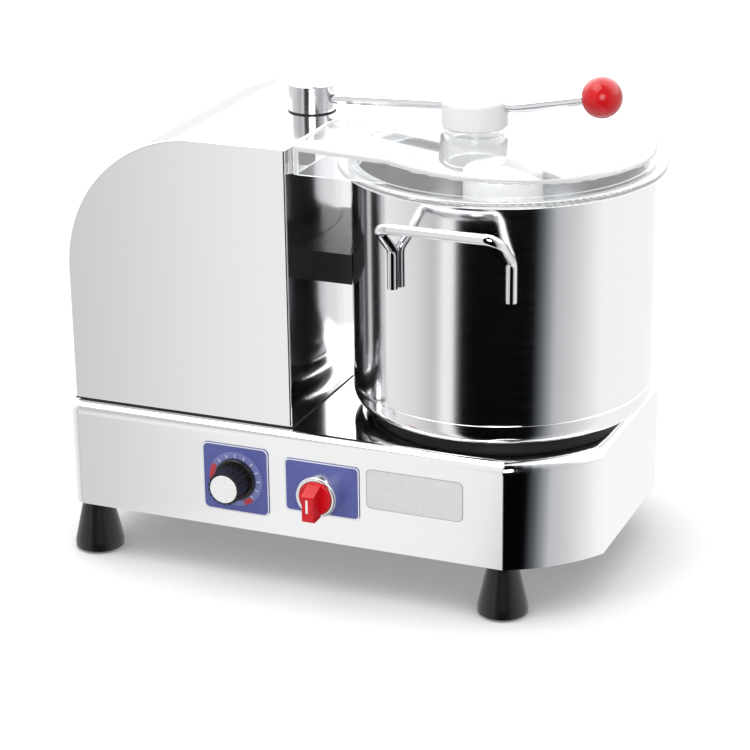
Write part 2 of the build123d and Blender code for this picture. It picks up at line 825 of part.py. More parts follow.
# Controls on the front of the base.
with BuildPart() as speed_plate:
    with BuildSketch(front_plane):
        with Locations((speed_x, speed_z)):
            RectangleRounded(speed_plate_size, speed_plate_size, speed_plate_corner)
            Circle(pot_bush_diameter / 2 + touch, mode=Mode.SUBTRACT)
    extrude(amount=plate_thickness)
save(speed_plate, "speed_plate")

with BuildPart() as selector_plate:
    with BuildSketch(front_plane):
        with Locations((left + selector_plate_from_left, base_z + selector_plate_above_base)):
            RectangleRounded(selector_plate_width, selector_plate_height, selector_plate_corner)
        with Locations((selector_x, selector_z)):
            Circle(panel_hole_diameter / 2, mode=Mode.SUBTRACT)
    extrude(amount=plate_thickness)
save(selector_plate, "selector_plate")

with BuildPart() as label_plate:
    with BuildSketch(front_plane):
        with Locations((left + label_from_left, base_z + label_above_base)):
            RectangleRounded(label_width, label_height, label_corner)
    extrude(amount=plate_thickness / 2)
save(label_plate, "label_plate")


def from_panel(x, z, out):
    """A plane facing out of the front panel, centred at x and z, moved out of it."""
    return Plane(origin=(x, front - out, z), x_dir=(1, 0, 0), z_dir=(0, -1, 0))


pot_nut_height = 2.4
pot_nut_size = 12.0
pot_body_diameter = 24.0
pot_body_depth = 12.0
pot_shaft_diameter = 6.0
pot_shaft_reach = 12.0
pot_bush_reach = 6.0
speed_knob_gap = 0.4
speed_knob_z = plate_thickness + speed_knob_gap
speed_skirt_height = 3.0
flute_count = 18
flute_radius = 1.5

with BuildPart() as potentiometer:
    with BuildSketch(from_panel(speed_x, speed_z, -base_sheet)):
        Circle(pot_body_diameter / 2)
        Circle(pot_shaft_diameter / 2 + running_gap, mode=Mode.SUBTRACT)
    extrude(amount=-pot_body_depth)
    with BuildSketch(from_panel(speed_x, speed_z, -base_sheet)):
        Circle(pot_bush_diameter / 2)
        Circle(pot_shaft_diameter / 2 + running_gap, mode=Mode.SUBTRACT)
    extrude(amount=pot_bush_reach)
    with BuildSketch(from_panel(speed_x, speed_z, plate_thickness)):
        RegularPolygon(pot_nut_size / 2, 6)
        Circle(pot_bush_diameter / 2 - 0.5, mode=Mode.SUBTRACT)
    extrude(amount=pot_nut_height)
save(potentiometer, "potentiometer")

with BuildPart() as potentiometer_shaft:
    with BuildSketch(from_panel(speed_x, speed_z, -base_sheet - pot_body_depth + 2)):
        Circle(pot_shaft_diameter / 2)
    extrude(amount=pot_body_depth - 2 + base_sheet + pot_shaft_reach)
save(potentiometer_shaft, "potentiometer_shaft")

with BuildPart() as speed_knob:
    with BuildSketch(from_panel(speed_x, speed_z, speed_knob_z)):
        Circle(speed_knob_diameter / 2)
    extrude(amount=speed_skirt_height)
    chamfer(speed_knob.edges().group_by(Axis.Y)[0], 0.8)
    with BuildSketch(from_panel(speed_x, speed_z, speed_knob_z + speed_skirt_height)):
        Circle(speed_knob_grip_diameter / 2)
        with PolarLocations(speed_knob_grip_diameter / 2 + 0.5, flute_count):
            Circle(flute_radius, mode=Mode.SUBTRACT)
    extrude(amount=speed_knob_height - speed_skirt_height, taper=2)
    with BuildSketch(from_panel(speed_x, speed_z, speed_knob_z)):
        Circle(pot_nut_size / 2 + 1)
    extrude(amount=pot_bush_reach, mode=Mode.SUBTRACT)
    with BuildSketch(from_panel(speed_x, speed_z, speed_knob_z)):
        Circle(pot_shaft_diameter / 2 + touch)
    extrude(amount=pot_shaft_reach - speed_knob_z + 0.3, mode=Mode.SUBTRACT)
save(speed_knob, "speed_knob")

with BuildPart() as speed_knob_cap:
    with BuildSketch(from_panel(speed_x, speed_z, speed_knob_z + speed_knob_height)):
        Circle(speed_cap_diameter / 2)
    extrude(amount=0.8)
    fillet(speed_knob_cap.edges().group_by(Axis.Y)[0], 0.4)
save(speed_knob_cap, "speed_knob_cap")

selector_shaft_diameter = 16.0
barrel_wall_radius = panel_hole_diameter / 2 - 0.15
contact_block = (30.0, 34.0, 26.0)
barrel_nut_diameter = 28.0
barrel_nut_height = 5.0
barrel_length = 12.0
bezel_floor = 9.0

with BuildPart() as selector_bezel:
    with BuildSketch(from_panel(selector_x, selector_z, plate_thickness)):
        Circle(bezel_diameter / 2)
        Circle(bezel_bore / 2, mode=Mode.SUBTRACT)
    extrude(amount=bezel_depth)
    outer_rim = selector_bezel.edges().group_by(Axis.Y)[0].sort_by(SortBy.LENGTH)[-1:]
    fillet(outer_rim, 1.2)
save(selector_bezel, "selector_bezel")

with BuildPart() as selector_barrel:
    with BuildSketch(from_panel(selector_x, selector_z, plate_thickness)):
        Circle(bezel_bore / 2 - touch)
        Circle(selector_shaft_diameter / 2 + running_gap, mode=Mode.SUBTRACT)
    extrude(amount=bezel_floor)
    with BuildSketch(from_panel(selector_x, selector_z, plate_thickness)):
        Circle(barrel_wall_radius)
        Circle(selector_shaft_diameter / 2 + running_gap, mode=Mode.SUBTRACT)
    extrude(amount=-barrel_length)
    with BuildSketch(from_panel(selector_x, selector_z, -base_sheet)):
        RegularPolygon(barrel_nut_diameter / 2, 12)
        Circle(barrel_wall_radius + touch, mode=Mode.SUBTRACT)
    extrude(amount=-barrel_nut_height)
save(selector_barrel, "selector_barrel")

with BuildPart() as selector_contacts:
    with BuildSketch(from_panel(selector_x, selector_z, plate_thickness - barrel_length)):
        RectangleRounded(contact_block[0], contact_block[1], 2)
    extrude(amount=-contact_block[2])
    with BuildSketch(from_panel(selector_x, selector_z, plate_thickness - barrel_length)):
        Rectangle(3, contact_block[1])
    extrude(amount=-contact_block[2] * 0.5, mode=Mode.SUBTRACT)
save(selector_contacts, "selector_contacts")

disc_start = plate_thickness + bezel_floor + 0.3
disc_face = plate_thickness + bezel_depth + selector_disc_proud
with BuildPart() as selector_handle:
    with BuildSketch(from_panel(selector_x, selector_z, disc_start)):
        Circle(selector_disc_diameter / 2)
    extrude(amount=disc_face - disc_start)
    fillet(selector_handle.edges().group_by(Axis.Y)[0], 1)
    with BuildSketch(Plane.YZ.offset(selector_x - selector_grip_width / 2)):
        with BuildLine():
            Polyline(
                (front - disc_face + 0.5, selector_z + selector_disc_diameter / 2 - 1.2),
                (front - disc_face - selector_grip_reach, selector_z + selector_grip_above),
                (front - disc_face - selector_grip_reach, selector_z - selector_grip_below),
                (front - disc_face - 1, selector_z - selector_grip_below),
                (front - disc_face + 0.5, selector_z - selector_disc_diameter / 2 + 1.2),
                close=True,
            )
        make_face()
    extrude(amount=selector_grip_width)
    tip_edges = selector_handle.edges().group_by(Axis.Y)[0]
    fillet(tip_edges, 1)
save(selector_handle, "selector_handle")

with BuildPart() as selector_shaft:
    with BuildSketch(from_panel(selector_x, selector_z, disc_start)):
        Circle(selector_shaft_diameter / 2)
    extrude(amount=-(disc_start - plate_thickness + barrel_length - 0.5))
save(selector_shaft, "selector_shaft")

with BuildPart() as cable_gland:
    with BuildSketch(back_plane.offset(-base_sheet - 5)):
        with Locations((-gland_x, gland_z)):
            Circle(gland_thread_diameter / 2)
    extrude(amount=base_sheet + 5)
    with BuildSketch(back_plane):
        with Locations((-gland_x, gland_z)):
            RegularPolygon(11, 6)
    extrude(amount=5)
    with BuildSketch(back_plane.offset(5)):
        with Locations((-gland_x, gland_z)):
            Circle(9)
    extrude(amount=8, taper=12)
    with BuildSketch(back_plane.offset(-base_sheet - 5)):
        with Locations((-gland_x, gland_z)):
            Circle(4)
    extrude(amount=base_sheet + 18, mode=Mode.SUBTRACT)
    with BuildSketch(back_plane.offset(-base_sheet - 4)):
        with Locations((-gland_x, gland_z)):
            RegularPolygon(11.5, 6)
            Circle(gland_thread_diameter / 2 + touch, mode=Mode.SUBTRACT)
    extrude(amount=4)
save(cable_gland, "cable_gland")

# Drive: spindle in its bearing housing, blade unit, pulleys and belt.
housing_tube_top = base_top + 3.0
housing_tube_bottom = housing_tube_top - bearing_housing_length
seal_height = 6.0
bearing_flange_height = 6.0
bearing_step = 36.0
upper_bearing_z = housing_tube_top - seal_height - bearing_width

with BuildPart() as bearing_housing:
    with BuildSketch(Plane.XY.offset(housing_tube_bottom)):
        with Locations((bowl_x, bowl_y)):
            Circle(bearing_housing_diameter / 2)
    extrude(amount=bearing_housing_length)
    with BuildSketch(Plane.XY.offset(base_top - base_sheet)):
        with Locations((bowl_x, bowl_y)):
            Circle(bearing_flange_diameter / 2)
            with PolarLocations(flange_bolt_circle, 4, start_angle=45):
                Circle(screw_diameter / 2 + touch, mode=Mode.SUBTRACT)
    extrude(amount=-bearing_flange_height)
    with BuildSketch(Plane.XY.offset(housing_tube_bottom)):
        with Locations((bowl_x, bowl_y)):
            Circle(bearing_step / 2)
    extrude(amount=bearing_housing_length, mode=Mode.SUBTRACT)
    with BuildSketch(Plane.XY.offset(housing_tube_bottom)):
        with Locations((bowl_x, bowl_y)):
            Circle(bearing_outer_diameter / 2 + touch)
    extrude(amount=bearing_width, mode=Mode.SUBTRACT)
    with BuildSketch(Plane.XY.offset(upper_bearing_z)):
        with Locations((bowl_x, bowl_y)):
            Circle(bearing_outer_diameter / 2 + touch)
    extrude(amount=bearing_width + seal_height, mode=Mode.SUBTRACT)
save(bearing_housing, "bearing_housing")

bearing_race = 3.0
bearing_shield_recess = 0.8
with BuildPart() as spindle_bearings:
    for bottom in (upper_bearing_z, housing_tube_bottom):
        with BuildSketch(Plane.XY.offset(bottom)):
            with Locations((bowl_x, bowl_y)):
                Circle(bearing_outer_diameter / 2)
                Circle(spindle_diameter / 2 + running_gap, mode=Mode.SUBTRACT)
        extrude(amount=bearing_width)
        for face_z, inward in ((bottom, 1), (bottom + bearing_width, -1)):
            with BuildSketch(Plane.XY.offset(face_z)):
                with Locations((bowl_x, bowl_y)):
                    Circle(bearing_outer_diameter / 2 - bearing_race)
                    Circle(spindle_diameter / 2 + bearing_race, mode=Mode.SUBTRACT)
            extrude(amount=bearing_shield_recess * inward, mode=Mode.SUBTRACT)
save(spindle_bearings, "spindle_bearings")

with BuildPart() as spindle_seal:
    with BuildSketch(Plane.XY.offset(housing_tube_top - seal_height)):
        with Locations((bowl_x, bowl_y)):
            Circle(bearing_outer_diameter / 2)
            Circle(spindle_diameter / 2 + running_gap, mode=Mode.SUBTRACT)
    extrude(amount=seal_height)
save(spindle_seal, "spindle_seal")

cover_screw_tail = 4.0
low_head = 1.8
turned = Location((0, 0, 0), (180, 0, 0))
floor_screw = pan_screw(floor_sheet + tab_height - 1)
cover_screw = pan_screw(rear_cover_sheet + housing_sheet + cover_screw_tail)
flange_screw = pan_screw(base_sheet + bearing_flange_height - 1, head_height=low_head)
motor_screw = pan_screw(base_sheet + motor_foot_thickness - 1, head_height=low_head)
guide_screw = pan_screw(housing_sheet + guide_block_width - 2)
with BuildPart() as machine_screws:
    with Locations(*[(x, y, base_z) for x, y in tab_places]):
        add(floor_screw)
    for place in cover_screw_places.locations:
        add(window_plane.offset(rear_cover_sheet).location * place * turned * cover_screw)
    with Locations((bowl_x, bowl_y, base_top - base_sheet - bearing_flange_height)):
        with PolarLocations(flange_bolt_circle, 4, start_angle=45):
            add(flange_screw)
    with Locations((motor_x, motor_y, base_top - base_sheet)):
        with GridLocations(motor_screw_spread, motor_screw_spread, 2, 2):
            add(motor_screw)
    for place in guide_screw_places.locations:
        add(guide_screws_plane.offset(-housing_sheet).location * place * guide_screw)
save(machine_screws, "machine_screws")

spindle_bottom = pulley_z - 4.0
spindle_top = bowl_floor + spindle_top_above_floor
with BuildPart() as spindle:
    with BuildSketch(Plane.XY.offset(spindle_bottom)):
        with Locations((bowl_x, bowl_y)):
            Circle(spindle_diameter / 2)
    extrude(amount=spindle_top - spindle_bottom)
    chamfer(spindle.edges().group_by(Axis.Z)[-1], 1.5)
save(spindle, "spindle")

groove_pitch = 3.0
groove_depth = 1.5


def grooved_pulley(x, y, diameter, bore_diameter):
    """A ribbed-belt pulley with its bore, standing on the pulley level."""
    section = Plane(origin=(x, y, 0), x_dir=(1, 0, 0), z_dir=(0, -1, 0))
    radius = diameter / 2
    with BuildPart() as pulley:
        with BuildSketch(section):
            with BuildLine():
                outline = [(bore_diameter / 2 + touch, pulley_z), (radius, pulley_z)]
                for rib in range(4):
                    z = pulley_z + 0.5 + groove_pitch * rib
                    outline += [(radius, z), (radius - groove_depth, z + groove_pitch / 2)]
                outline += [
                    (radius, pulley_z + 0.5 + 4 * groove_pitch),
                    (radius, pulley_z + pulley_width),
                    (bore_diameter / 2 + touch, pulley_z + pulley_width),
                ]
                Polyline(*outline, close=True)
            make_face()
        revolve(axis=Axis((x, y, 0), (0, 0, 1)))
    return pulley.part


with BuildPart() as driven_pulley:
    add(grooved_pulley(bowl_x, bowl_y, driven_pulley_diameter, spindle_diameter))
    with BuildSketch(Plane.XY.offset(pulley_z)):
        with Locations((bowl_x, bowl_y)):
            with PolarLocations(driven_pulley_diameter * 0.3, 6):
                Circle(driven_pulley_diameter * 0.1)
    extrude(amount=pulley_width, mode=Mode.SUBTRACT)
save(driven_pulley, "driven_pulley")

with BuildPart() as motor_pulley:
    add(grooved_pulley(motor_x, motor_y, motor_pulley_diameter, motor_shaft_diameter))
save(motor_pulley, "motor_pulley")


def belt_plan(extra):
    """The belt's outline: two circles and their common tangents."""
    with BuildSketch(Plane.XY.offset(pulley_z + 0.5)) as plan:
        with Locations((bowl_x, bowl_y)):
            Circle(driven_pulley_diameter / 2 + belt_gap + extra)
        with Locations((motor_x, motor_y)):
            Circle(motor_pulley_diameter / 2 + belt_gap + extra)
        make_hull()
    return plan.sketch


with BuildPart() as drive_belt:
    extrude(belt_plan(belt_thickness), amount=pulley_width - 1)
    extrude(belt_plan(0), amount=pulley_width - 1, mode=Mode.SUBTRACT)
save(drive_belt, "drive_belt")

hub_bottom = bowl_floor + hub_floor_gap
hub_top = rim_z - hub_top_below_rim
hub_cap_z = hub_top - hub_cap_height
lower_blade_z = bowl_floor + lower_blade_height
upper_blade_z = bowl_floor + upper_blade_height
tube_space_top = bowl_floor + bowl_tube_height + 2.0

with BuildPart() as blade_hub:
    with BuildSketch(bowl_section):
        with BuildLine():
            Polyline(
                (hub_bore, hub_bottom),
                (blade_ring_diameter / 2, hub_bottom),
                (blade_ring_diameter / 2, lower_blade_z),
                (hub_diameter / 2, lower_blade_z),
                (hub_diameter / 2, hub_cap_z),
                (0, hub_cap_z),
                (0, spindle_top + 1),
                (spindle_diameter / 2 + touch, spindle_top + 1),
                (spindle_diameter / 2 + touch, tube_space_top + 4),
                (hub_bore, tube_space_top),
                close=True,
            )
        make_face()
    revolve(axis=bowl_axis)
save(blade_hub, "blade_hub")

with BuildPart() as hub_cap:
    with BuildSketch(Plane.XY.offset(hub_cap_z)):
        with Locations((bowl_x, bowl_y)):
            Circle(hub_cap_diameter / 2)
    extrude(amount=hub_cap_height)
    fillet(hub_cap.edges().group_by(Axis.Z)[-1], 4)
    chamfer(hub_cap.edges().group_by(Axis.Z)[0], 1)
save(hub_cap, "hub_cap")


blade_root = blade_ring_diameter / 2 - 3.0
with BuildSketch() as blade_arm:
    with BuildLine():
        leading_edge = ThreePointArc(
            (blade_root * 0.6, -blade_root * 0.8),
            (blade_reach * 0.72, -blade_reach * 0.08),
            (blade_reach * 0.93, blade_reach * 0.33),
        )
        trailing_edge = ThreePointArc(
            leading_edge @ 1,
            (blade_reach * 0.6, blade_reach * 0.2),
            (blade_root * 0.5, blade_root * 0.86),
        )
        Line(trailing_edge @ 1, leading_edge @ 0)
    make_face()


def sickle_blade(z, turn):
    """Two curved arms on a clamping ring, ground to an edge on their leading sides."""
    with BuildPart() as blade:
        with BuildSketch(Plane(origin=(bowl_x, bowl_y, z)).rotated((0, 0, turn))):
            Circle(blade_ring_diameter / 2)
            with PolarLocations(0, 2):
                add(blade_arm.sketch)
            Circle(hub_diameter / 2 + touch, mode=Mode.SUBTRACT)
        extrude(amount=blade_thickness)
        top_arcs = blade.edges().group_by(Axis.Z)[-1].filter_by(GeomType.CIRCLE)
        ground_edges = top_arcs.filter_by(lambda arc: abs(arc.radius - leading_edge.radius) < 0.1)
        chamfer(ground_edges, blade_thickness * 0.8)
    return blade


save(sickle_blade(lower_blade_z, 0), "lower_blade")
save(sickle_blade(upper_blade_z, 90), "upper_blade")

lock_slots = 8
lock_slot_radius = 4.0
with BuildPart() as blade_rings:                           # the spacer and the slotted lock ring
    with BuildSketch(Plane.XY.offset(lower_blade_z + blade_thickness)):
        with Locations((bowl_x, bowl_y)):
            Circle(blade_ring_diameter / 2)
            Circle(hub_diameter / 2 + touch, mode=Mode.SUBTRACT)
    extrude(amount=upper_blade_z - lower_blade_z - blade_thickness)
    with BuildSketch(Plane.XY.offset(upper_blade_z + blade_thickness)):
        with Locations((bowl_x, bowl_y)):
            Circle(blade_ring_diameter / 2)
            with PolarLocations(blade_ring_diameter / 2 + lock_slot_radius / 2, lock_slots):
                Circle(lock_slot_radius, mode=Mode.SUBTRACT)
            Circle(hub_diameter / 2 + touch, mode=Mode.SUBTRACT)
    extrude(amount=blade_lock_height)
save(blade_rings, "blade_rings")

# Motor.
motor_z = base_top + motor_foot_thickness
motor_top = motor_z + motor_length
shaft_depth_in_motor = 60.0
fin_count = 24
fin_height = 3.0
with BuildPart() as motor_body:
    with BuildSketch(Plane.XY.offset(base_top)):
        with Locations((motor_x, motor_y)):
            RectangleRounded(motor_foot_size, motor_foot_size, 8)
            Circle(motor_shaft_diameter, mode=Mode.SUBTRACT)
            with GridLocations(motor_screw_spread, motor_screw_spread, 2, 2):
                Circle(screw_diameter / 2 + touch, mode=Mode.SUBTRACT)
    extrude(amount=motor_foot_thickness)
    with BuildSketch(Plane.XY.offset(motor_z)):
        with Locations((motor_x, motor_y)):
            Circle(motor_diameter / 2 - fin_height)
            with PolarLocations(motor_diameter / 2 - fin_height, fin_count):
                Rectangle(2 * fin_height, 2.5)
            Circle(motor_shaft_diameter / 2 + running_gap, mode=Mode.SUBTRACT)
    extrude(amount=motor_length)
save(motor_body, "motor_body")

with BuildPart() as motor_end_cap:
    with BuildSketch(Plane.XY.offset(motor_top)):
        with Locations((motor_x, motor_y)):
            Circle(motor_diameter / 2)
    extrude(amount=motor_cap_height)
    fillet(motor_end_cap.edges().group_by(Axis.Z)[-1], motor_cap_height * 0.6)
save(motor_end_cap, "motor_end_cap")

with BuildPart() as motor_shaft:
    with BuildSketch(Plane.XY.offset(pulley_z - 2)):
        with Locations((motor_x, motor_y)):
            Circle(motor_shaft_diameter / 2)
    extrude(amount=motor_z + shaft_depth_in_motor - pulley_z)
save(motor_shaft, "motor_shaft")

# Control board on the hood's left wall.
board_size = (110.0, 80.0)
board_sheet = 1.6
board_above_base = 60.0
standoff_length = 7.0
standoff_inset = 5.0
standoff_size = 7.0
part_height = 9.0
heat_sink = (28.0, 34.0)
heat_sink_place = (-34.0, 14.0)
capacitor_diameter = 14.0
capacitor_places = ((8.0, 20.0), (26.0, 20.0))
terminal = (7.0, 10.0)
terminal_pitch = 9.0
terminal_count = 6
terminal_place = (12.0, -26.0)
board_plane = Plane(
    origin=(housing_x + housing_sheet, housing_y + housing_depth / 2, base_top + board_above_base),
    x_dir=(0, 1, 0),
    z_dir=(1, 0, 0),
)
standoff_places = GridLocations(
    board_size[0] - 2 * standoff_inset, board_size[1] - 2 * standoff_inset, 2, 2
)
with BuildPart() as control_board:
    with BuildSketch(board_plane):
        with standoff_places:
            RegularPolygon(standoff_size / 2, 6)
    extrude(amount=standoff_length)
    with BuildSketch(board_plane.offset(standoff_length)):
        Rectangle(*board_size)
    extrude(amount=board_sheet)
    with BuildSketch(board_plane.offset(standoff_length + board_sheet)):
        with Locations(heat_sink_place):
            Rectangle(*heat_sink)
        with Locations(*capacitor_places):
            Circle(capacitor_diameter / 2)
        with GridLocations(terminal_pitch, 1, terminal_count, 1):
            with Locations(terminal_place):
                Rectangle(*terminal)
    extrude(amount=part_height)
save(control_board, "control_board")
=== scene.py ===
import bpy, bmesh, json
from math import cos, pi, radians, sin
from mathutils import Matrix, Vector


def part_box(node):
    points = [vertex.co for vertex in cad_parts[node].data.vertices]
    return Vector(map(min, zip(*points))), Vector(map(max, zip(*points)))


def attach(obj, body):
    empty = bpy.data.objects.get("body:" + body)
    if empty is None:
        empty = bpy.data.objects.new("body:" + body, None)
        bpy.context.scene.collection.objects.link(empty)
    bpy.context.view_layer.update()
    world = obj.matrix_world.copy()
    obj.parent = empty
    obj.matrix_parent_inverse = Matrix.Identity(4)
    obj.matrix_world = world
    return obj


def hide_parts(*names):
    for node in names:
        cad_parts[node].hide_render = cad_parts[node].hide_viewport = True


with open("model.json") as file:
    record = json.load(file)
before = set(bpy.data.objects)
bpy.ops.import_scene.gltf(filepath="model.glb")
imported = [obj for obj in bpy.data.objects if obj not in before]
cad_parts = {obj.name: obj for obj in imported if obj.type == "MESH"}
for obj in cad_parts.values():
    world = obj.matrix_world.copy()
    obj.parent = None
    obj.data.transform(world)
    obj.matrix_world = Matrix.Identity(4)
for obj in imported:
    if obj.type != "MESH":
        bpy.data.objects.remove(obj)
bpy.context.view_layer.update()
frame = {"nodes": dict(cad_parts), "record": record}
print("frame loaded:", len(frame["nodes"]), "nodes")


def hexColour(code):
    # an sRGB hex value as the opaque linear colour that a socket holds
    channels = [int(code[i:i + 2], 16) / 255 for i in (1, 3, 5)]
    return [c / 12.92 if c <= 0.04045 else ((c + 0.055) / 1.055) ** 2.4 for c in channels] + [1.0]


def addNode(tree, kind, settings=None, **links):
    # settings: attributes or socket values; links: an input's name, spaces as _, or _ and its number
    made = tree.nodes.new(kind)
    for key, value in (settings or {}).items():
        if isinstance(key, str) and hasattr(made, key):
            setattr(made, key, value)
        else:
            made.inputs[key].default_value = value
    for key, socket in links.items():
        name = int(key[1:]) if key[0] == "_" else key.replace("_", " ")
        tree.links.new(made.inputs[name], socket)
    return made


def startMaterial(name, colour, metallic, roughness, **sockets):
    # a Principled material with its plain values set; returns the material, its tree and its shader
    material = bpy.data.materials.new(name)
    material.use_nodes = True
    tree = material.node_tree
    shader = tree.nodes["Principled BSDF"]
    shader.inputs["Base Color"].default_value = hexColour(colour)
    shader.inputs["Metallic"].default_value = metallic
    shader.inputs["Roughness"].default_value = roughness
    for key, value in sockets.items():
        shader.inputs[key.replace("_", " ")].default_value = value
    return material, tree, shader


def patternOn(tree, perMetre, detail=3.0, roughness=0.5):
    # a noise on Object coordinates, with its repeats per metre along X, Y and Z.
    # its values lie mostly between 0.3 and 0.7, which the two functions below stretch
    place = addNode(tree, "ShaderNodeTexCoord")
    sized = addNode(tree, "ShaderNodeMapping", {"Scale": perMetre}, Vector=place.outputs["Object"])
    settings = {"Scale": 1.0, "Detail": detail, "Roughness": roughness}
    return addNode(tree, "ShaderNodeTexNoise", settings, Vector=sized.outputs["Vector"]).outputs["Fac"]


def varyRoughness(tree, shader, pattern, low, high):
    settings = {"From Min": 0.3, "From Max": 0.7, "To Min": low, "To Max": high}
    spread = addNode(tree, "ShaderNodeMapRange", settings, Value=pattern)
    tree.links.new(shader.inputs["Roughness"], spread.outputs["Result"])


def varyColour(tree, shader, pattern, first, second):
    ramp = addNode(tree, "ShaderNodeValToRGB", Fac=pattern)
    for stop, position, colour in zip(ramp.color_ramp.elements, (0.35, 0.65), (first, second)):
        stop.position = position
        stop.color = hexColour(colour)
    tree.links.new(shader.inputs["Base Color"], ramp.outputs["Color"])


def addBump(tree, shader, pattern, depth):
    bump = addNode(tree, "ShaderNodeBump", {"Distance": depth}, Height=pattern)
    tree.links.new(shader.inputs["Normal"], bump.outputs["Normal"])


# each of these functions makes one kind of finish; patterns are in repeats per metre, depths in metres
def brushedSheet(name, colour, perMetre, roughness, depth):
    # 304 stainless sheet, belt-brushed: long fine streaks that stretch reflections across them.
    # real streaks are about 0.05 mm apart, drawn near 0.6 mm so that they show
    material, tree, shader = startMaterial(name, colour, metallic=1.0, roughness=roughness)
    grain = patternOn(tree, perMetre, detail=4.0, roughness=0.6)
    varyRoughness(tree, shader, grain, low=roughness * 0.8, high=roughness * 1.25)
    addBump(tree, shader, grain, depth)
    return material


def polishedSteel(name, colour, roughness):
    # buffed stainless: a near mirror with faint buffing haze about 20 mm across
    material, tree, shader = startMaterial(name, colour, metallic=1.0, roughness=roughness)
    haze = patternOn(tree, perMetre=(50, 50, 14))
    varyRoughness(tree, shader, haze, low=roughness * 0.6, high=roughness * 1.6)
    return material


def turnedSteel(name, colour, roughness):
    # lathe-turned stainless: fine rings stacked along the axis, drawn 0.4 mm apart
    material, tree, shader = startMaterial(name, colour, metallic=1.0, roughness=roughness)
    rings = patternOn(tree, perMetre=(3, 3, 2500), detail=2.0)
    varyRoughness(tree, shader, rings, low=roughness * 0.7, high=roughness * 1.5)
    addBump(tree, shader, rings, depth=0.00002)
    return material


def castMetal(name, colour):
    # sand-cast aluminium: grains of about 1 mm, dull and slightly uneven in tone
    material, tree, shader = startMaterial(name, colour, metallic=1.0, roughness=0.45)
    grains = patternOn(tree, perMetre=(900, 900, 900), detail=4.0)
    varyRoughness(tree, shader, grains, low=0.38, high=0.6)
    addBump(tree, shader, grains, depth=0.0002)
    return material


def mottledSurface(name, colour, shade, roughness, perMetre, detail, depth, ior=1.5):
    # a moulded or printed surface: two near shades in a fine mottle, with a bump to match
    material, tree, shader = startMaterial(name, colour, metallic=0.0, roughness=roughness, IOR=ior)
    mottle = patternOn(tree, perMetre=(perMetre, perMetre, perMetre), detail=detail)
    varyColour(tree, shader, mottle, colour, shade)
    addBump(tree, shader, mottle, depth)
    return material


def mouldedPlastic(name, colour, shade, roughness):
    # injection-moulded plastic: smooth, with a slight orange peel of about 3 mm
    return mottledSurface(name, colour, shade, roughness, perMetre=320, detail=2.0, depth=0.00003)


def blackRubber(name, colour, shade, roughness):
    # moulded nitrile rubber: dark, satin, with a fine matt speckle under 1 mm
    return mottledSurface(name, colour, shade, roughness, perMetre=1400, detail=3.0, depth=0.00004, ior=1.52)


def printedPlate(name, colour, shade):
    # screen-printed polyester over a metal plate: even ink with a faint 4 mm mottle, satin varnish
    return mottledSurface(name, colour, shade, roughness=0.38, perMetre=260, detail=3.0, depth=0.000002)


def clearLidPlastic():
    # clear polycarbonate, moulded and polished: a faint wipe haze about 30 mm across.
    # the light that wanders between its many walls makes it milky, which a faint glow stands for
    material, tree, shader = startMaterial("clear polycarbonate", "#FBFDFE", metallic=0.0, roughness=0.02,
                                           IOR=1.49, Transmission_Weight=1.0, Emission_Strength=0.1)
    shader.inputs["Emission Color"].default_value = hexColour("#FFFFFF")
    haze = patternOn(tree, perMetre=(35, 35, 35), detail=2.0)
    varyRoughness(tree, shader, haze, low=0.01, high=0.05)
    return material


def circuitBoard():
    # FR-4 laminate under green solder resist, with a faint glass weave 0.5 mm apart
    material, tree, shader = startMaterial("circuit board", "#1E6B3A", metallic=0.0, roughness=0.4, IOR=1.5)
    weave = patternOn(tree, perMetre=(2000, 2000, 2000), detail=1.0)
    varyColour(tree, shader, weave, "#185A30", "#247844")
    return material


hoodSteel = brushedSheet("brushed stainless hood", "#F2F2F3", (60, 60, 1700), 0.1, 0.000004)
baseSteel = brushedSheet("brushed stainless base", "#F6F6F7", (60, 60, 1700), 0.08, 0.000003)
bowlSteel = brushedSheet("polished stainless bowl", "#F2F2F3", (60, 60, 1200), 0.12, 0.000004)
rodSteel = polishedSteel("polished stainless rod", "#E4E4E6", 0.08)
headSteel = turnedSteel("turned stainless", "#DADADC", 0.16)
spindleSteel = turnedSteel("turned carbon steel", "#B9BBC0", 0.3)
bladeSteel = brushedSheet("ground blade steel", "#D2D4D8", (900, 900, 60), 0.18, 0.00002)
zincSteel = polishedSteel("zinc-plated steel", "#C2C4C8", 0.3)
castAluminium = castMetal("cast aluminium", "#A8AAAE")
satinAluminium = brushedSheet("satin anodised aluminium", "#D9DADC", (1500, 60, 1500), 0.3, 0.00001)
bezelMetal = brushedSheet("bright bezel", "#F7F7F8", (60, 900, 60), 0.22, 0.00001)
footRubber = blackRubber("black nitrile rubber", "#0B0B0C", "#161617", 0.32)
beltRubber = blackRubber("black belt rubber", "#131314", "#1E1E20", 0.55)
# nearly black rubber; on the seat ring under the bowl this black also stands for the shade in the gap
# between bowl and base, a painted shade
seatRubberAndGapShade = blackRubber("black seat rubber and painted gap shade", "#060607", "#0C0C0D", 0.6)
lidPlastic = clearLidPlastic()
whiteAcetal = mouldedPlastic("white acetal", "#FBFBFA", "#F8F8F7", 0.3)
whiteCap = mouldedPlastic("white ABS cap", "#FAFAFA", "#F2F2F2", 0.35)
ballRed = mouldedPlastic("red phenolic ball", "#D50C18", "#CB0A15", 0.22)
selectorRed = mouldedPlastic("red nylon handle", "#DE0C1C", "#CF0A18", 0.32)
knobBlack = mouldedPlastic("black nylon knob", "#151516", "#1D1D1F", 0.3)
blackPlastic = mouldedPlastic("black phenolic", "#18181A", "#222224", 0.42)
violetPlate = printedPlate("violet printed plate", "#5B63A8", "#5860A3")
labelPaint = printedPlate("pale grey label", "#E2E3E3", "#DEDFDF")
boardGreen = circuitBoard()
print("materials made:", len(bpy.data.materials))

